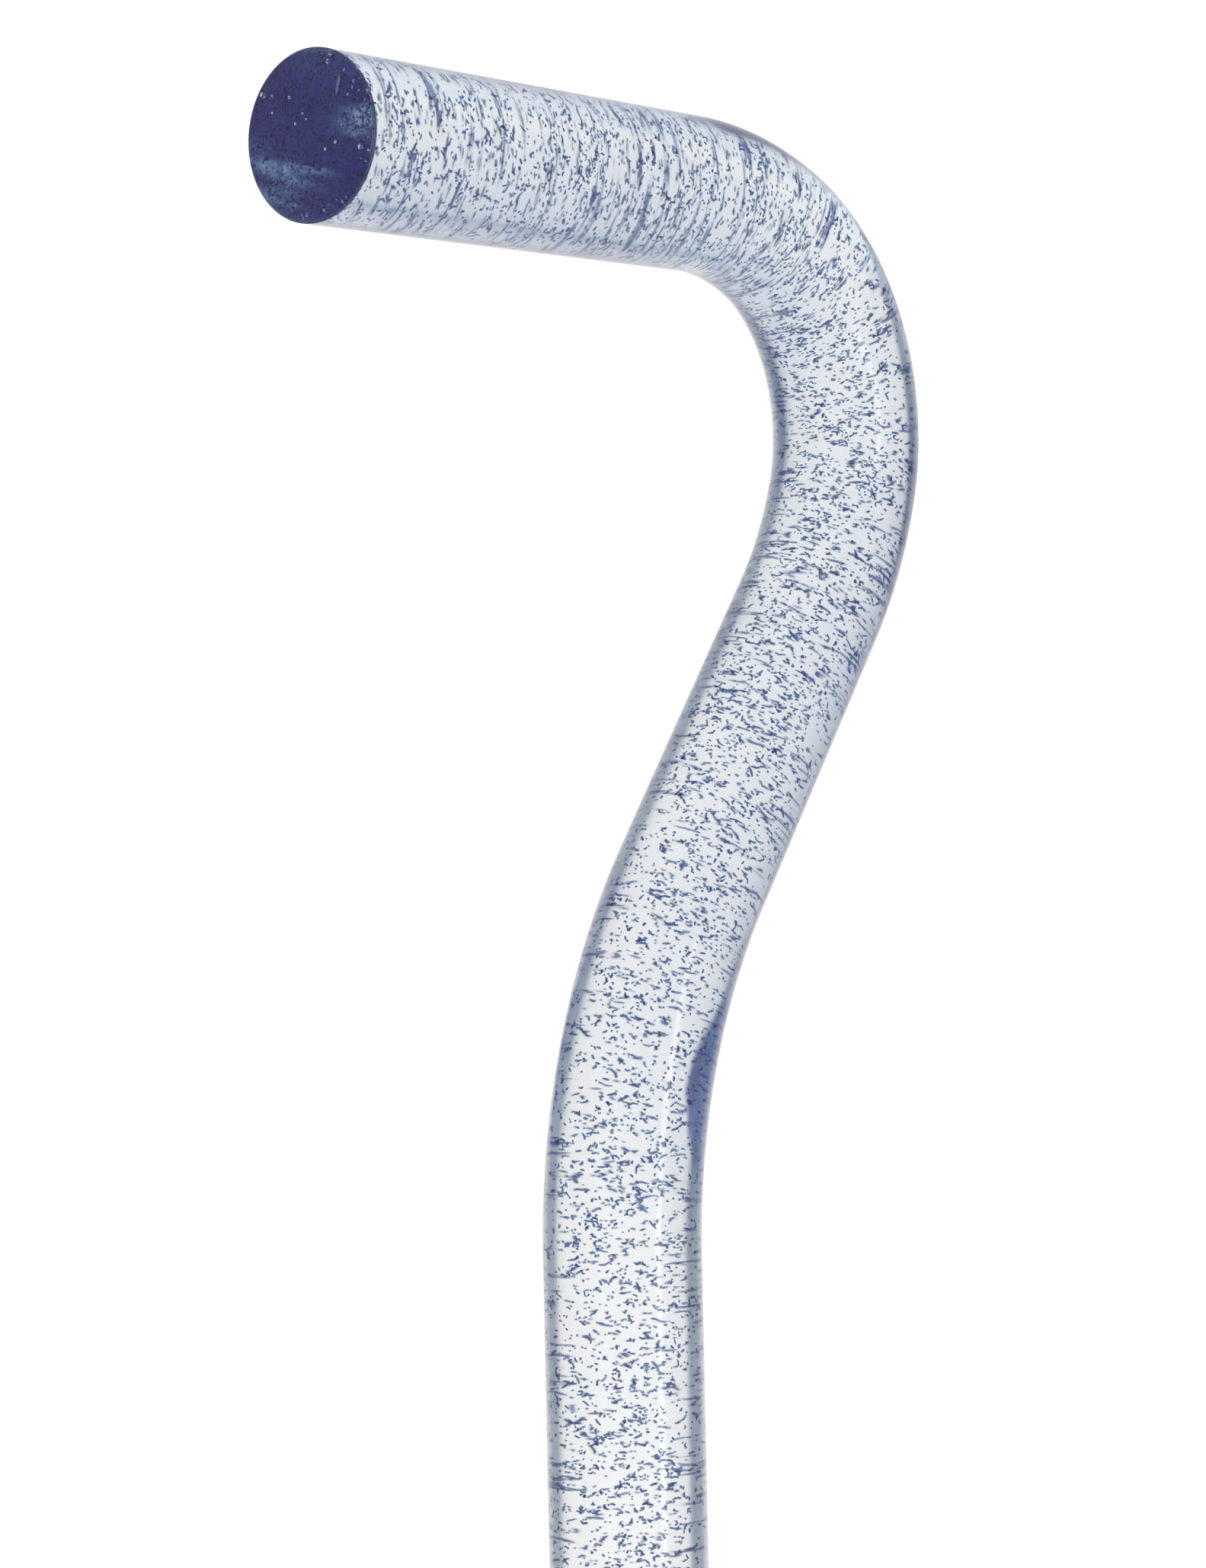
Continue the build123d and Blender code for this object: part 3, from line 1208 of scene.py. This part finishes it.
# %% The world
CARD_LEAN = -0.28
CARD_NARROWING = -0.012
VIGNETTE = (
    # degrees left of the camera's heading, and how much of the backdrop's light is left
    (-44, (0.62, 0.64, 0.67)),
    (-40, (0.82, 0.83, 0.84)),
    (-36, (0.90, 0.905, 0.915)),
    (-30, (0.945, 0.95, 0.955)),
    (-24, (0.965, 0.968, 0.973)),
    (-18, 1.0),
    (17, 1.0),
    (23, (0.96, 0.963, 0.968)),
    (29, (0.91, 0.915, 0.925)),
    (36, (0.86, 0.87, 0.885)),
    (40, (0.77, 0.79, 0.81)),
)
BACKDROP = (
    # degrees above the horizon, and the backdrop's colour
    (-90, (0.90, 0.93, 0.97)),
    (-30, (0.90, 0.95, 0.99)),
    (-13, WHITE),
    (-8, (0.97, 0.975, 0.98)),
    (-3, (0.88, 0.90, 0.93)),
    (3, (0.865, 0.89, 0.92)),
    (11, (0.82, 0.85, 0.89)),
    (20, (0.74, 0.78, 0.84)),
    (31, (0.65, 0.71, 0.78)),
    (35, (0.62, 0.68, 0.76)),
    (36, (0.38, 0.46, 0.58)),
    (38, (0.45, 0.52, 0.62)),
    (42, (0.60, 0.65, 0.76)),
    (90, (0.82, 0.85, 0.92)),
)
CARD = (
    # degrees above the horizon, and the dark cards' colour
    (-25, (0.32, 0.36, 0.42)),
    (-8, (0.26, 0.31, 0.38)),
    (0, (0.17, 0.22, 0.31)),
    (6, (0.12, 0.165, 0.26)),
    (25, (0.10, 0.145, 0.235)),
    (35, (0.17, 0.21, 0.31)),
    (50, (0.22, 0.28, 0.38)),
    (70, (0.36, 0.42, 0.52)),
)
CARD_COVER = (
    # degrees left of the camera's heading, and the share of the view that a card fills
    (-86, 0.10),
    (-74, 0.50),
    (-67, 0.92),
    (-59, 1.0),
    (-54, 0.93),
    (-49, 0.98),
    (-43, 0.0),
    (38.5, 0.0),
    (44, 0.92),
    (48, 1.0),
    (53, 0.94),
    (58, 1.0),
    (67, 0.96),
    (73, 0.60),
    (86, 0.18),
)
# the acrylic takes a little red out of every ray, so the lamps behind it are a little warm
LAMP_WARMTH = (1.0, 0.926, 0.898)

world = bpy.data.worlds.new("studio")
bpy.context.scene.world = world
world.use_nodes = True
studio = world.node_tree
studio.nodes.clear()
way = split(studio, add_node(studio, "TexCoord").outputs["Generated"])
elevation = calculate(studio, "ARCSINE", way["Z"])
azimuth = calculate(studio, "ARCTAN2", way["Y"], way["X"])
off_heading = calculate(studio, "SUBTRACT", azimuth, CAMERA_HEADING)
beside = calculate(studio, "SINE", off_heading)
ahead = calculate(studio, "ABSOLUTE", calculate(studio, "COSINE", off_heading))
# the studio behind the camera is the mirror of the one in front; left of the heading is positive
to_the_left = calculate(studio, "ARCTAN2", beside, ahead)
# the left cards lean outward as they rise, so there the angle is read a little narrower higher up
on_the_left = calculate(studio, "GREATER_THAN", to_the_left, 0.0)
lean = calculate(studio, "MULTIPLY_ADD", way["Z"], CARD_LEAN, CARD_NARROWING)
narrowing = calculate(studio, "MULTIPLY_ADD", lean, on_the_left, 1.0)
card_angle = calculate(studio, "MULTIPLY", to_the_left, narrowing)
backdrop = angle_ramp(studio, elevation, BACKDROP)
vignette = angle_ramp(studio, card_angle, VIGNETTE)
dimmed = mixed_colour(studio, 1.0, backdrop, vignette, blend="MULTIPLY")
card = angle_ramp(studio, elevation, CARD)
carded = mixed_colour(studio, angle_ramp(studio, card_angle, CARD_COVER), dimmed, card)
warmed = mixed_colour(studio, 1.0, carded, LAMP_WARMTH, blend="MULTIPLY")

# %% Who sees which light
SEEN_STRENGTH = 1.05
PLAIN_LIGHT = 0.75
PLAIN_TINT = (0.98, 0.99, 1.0)
seen_through_glass = add_node(studio, "Background", {"Color": warmed, "Strength": SEEN_STRENGTH})
plain_light = add_node(studio, "Background", {"Color": PLAIN_TINT, "Strength": PLAIN_LIGHT})
white_page = add_node(studio, "Background", {"Color": WHITE})
bent = either_ray(studio, "Is Glossy Ray", "Is Transmission Ray")
for_bent = mixed_shader(studio, bent, plain_light, seen_through_glass)
camera_ray = add_node(studio, "LightPath").outputs["Is Camera Ray"]
for_camera = mixed_shader(studio, camera_ray, for_bent, white_page)
add_node(studio, "OutputWorld", {"Surface": for_camera})
print("world:", world.name, "with", len(studio.nodes), "nodes")

# %% [markdown]
# ## A glowing panel that paints a blue smear into the lower bend
#
# Low down on the left, just behind the lower bend, a dark blue panel that glows stands close to the
# rod. It is seen only through the right edge of the bend, as a blue smear, and the rod above and
# below looks past it. The smear is a painted reflection: it stands in for the deep blue of light that
# the skin turns back and sends down the rod's length, which this bend doesn't make. A far card would
# darken the whole length alike. It hides from the camera and from soft light, so only the view through
# the glass shows it.

# %% The panel
# the panel glows with painted indigo, and seen through the bend it is a painted reflection
PANEL_DISTANCE = 0.15
PANEL_UP_THE_BEND = 0.018
PANEL_CORNERS = np.array([
    # degrees left of the camera's heading, height above the lower bend's middle in metres
    (22.5, 0.008),
    (23.0, 0.016),
    (23.7, 0.021),
    (25.5, 0.028),
    (28.5, 0.036),
    (33.0, 0.0465),
    (36.5, 0.057),
    (45.0, 0.078),
    (58.0, 0.098),
    (66.0, 0.098),
    (66.0, -0.010),
    (42.0, -0.006),
    (38.0, -0.002),
    (31.5, -0.001),
    (29.5, 0.0025),
    (26.5, 0.0065),
])
PANEL_HEART = np.array([46.0, 0.022])
PANEL_SOFTNESS = 0.16
# colours of the painted reflection that the panel glows with
PAINTED_SMEAR_TINTS = (0.055, 0.080, 0.19), (0.115, 0.170, 0.36)

bend_middle = rod_point(np.array([BEND_START + PANEL_UP_THE_BEND]), 0.0, 0.0)[0]
inner_corners = PANEL_CORNERS + PANEL_SOFTNESS * (PANEL_HEART - PANEL_CORNERS)
panel_left, panel_height = np.concatenate([PANEL_CORNERS, inner_corners]).T
panel_turn = CAMERA_HEADING + np.radians(panel_left)
panel_places = [
    PANEL_DISTANCE * np.cos(panel_turn), PANEL_DISTANCE * np.sin(panel_turn), panel_height
]
corner_count = len(PANEL_CORNERS)
corner = np.arange(corner_count)
following = (corner + 1) % corner_count
panel_rim = np.stack([corner, following, following + corner_count, corner + corner_count], axis=1)
panel_faces = panel_rim.tolist() + [(corner + corner_count).tolist()]
panel = new_surface("painted_smear_panel", bend_middle + np.stack(panel_places, axis=1), panel_faces)
panel_cover = panel.data.attributes.new("cover", "FLOAT", "POINT")
panel_cover.data.foreach_set("value", np.repeat([0.0, 1.0], corner_count).astype(np.float32))
panel.visible_camera = False
panel.visible_diffuse = False
panel.visible_shadow = False
print("panel with", corner_count, "corners")


def painted_smear_material():
    """Glowing dark indigo with soft lighter clouds, a painted reflection, fading to nothing along its
    rim.
    """
    material, tree = new_material("painted_smear_glow")
    clouds = grained(tree, object_place(tree), 70.0)["Value"]
    glow = add_node(tree, "Emission", {"Color": mixed_colour(tree, clouds, *PAINTED_SMEAR_TINTS)})
    cover = add_node(tree, "Attribute", attribute_name="cover").outputs["Fac"]
    shown = mixed_shader(tree, cover, add_node(tree, "BsdfTransparent"), glow)
    add_node(tree, "OutputMaterial", {"Surface": shown})
    return material


dress(panel, painted_smear_material())

# %% [markdown]
# ## One soft strip
#
# A tall soft box off to the right puts a single pale line down the rod, which says round and
# polished without hiding the strands. Three lamps of different widths in one place make its middle
# brighter than its sides, as cloth in front of a tube is.

# %% The strip
STRIP_MIDDLE = Vector((0, 0, 0.76))
STRIP_TURN = CAMERA_HEADING + math.pi + math.radians(53)
STRIP_DISTANCE = 1.2
STRIP_WIDTHS = (0.08, 0.14, 0.20)
STRIP_HEIGHT = 1.04
STRIP_POWER = 0.95

strip_way = Vector((math.cos(STRIP_TURN), math.sin(STRIP_TURN), 0))
for strip_width in STRIP_WIDTHS:
    strip_data = bpy.data.lights.new("strip_right", "AREA")
    strip_data.shape = "RECTANGLE"
    strip_data.size = strip_width
    strip_data.size_y = STRIP_HEIGHT
    strip_data.energy = STRIP_POWER
    strip = bpy.data.objects.new("strip_right", strip_data)
    strip.location = STRIP_MIDDLE + STRIP_DISTANCE * strip_way
    strip.rotation_mode = "QUATERNION"
    strip.rotation_quaternion = (STRIP_MIDDLE - strip.location).to_track_quat("-Z", "Y")
    bpy.context.scene.collection.objects.link(strip)
print("strips:", len(STRIP_WIDTHS))

# %% [markdown]
# ## Settings, size and finish
#
# A ray that enters the rod may be turned back by its skin many times before it leaves, so it is
# allowed more bounces than usual. Caustics are left out, because the rays that would make them
# already pass the skin straight on.

# %% Settings
scene = bpy.context.scene
scene.view_settings.view_transform = "Standard"
scene.cycles.max_bounces = 48
scene.cycles.glossy_bounces = 40
scene.cycles.transmission_bounces = 24
scene.cycles.transparent_max_bounces = 48
scene.cycles.caustics_reflective = False
scene.cycles.caustics_refractive = False
print("bounces allowed:", scene.cycles.max_bounces)
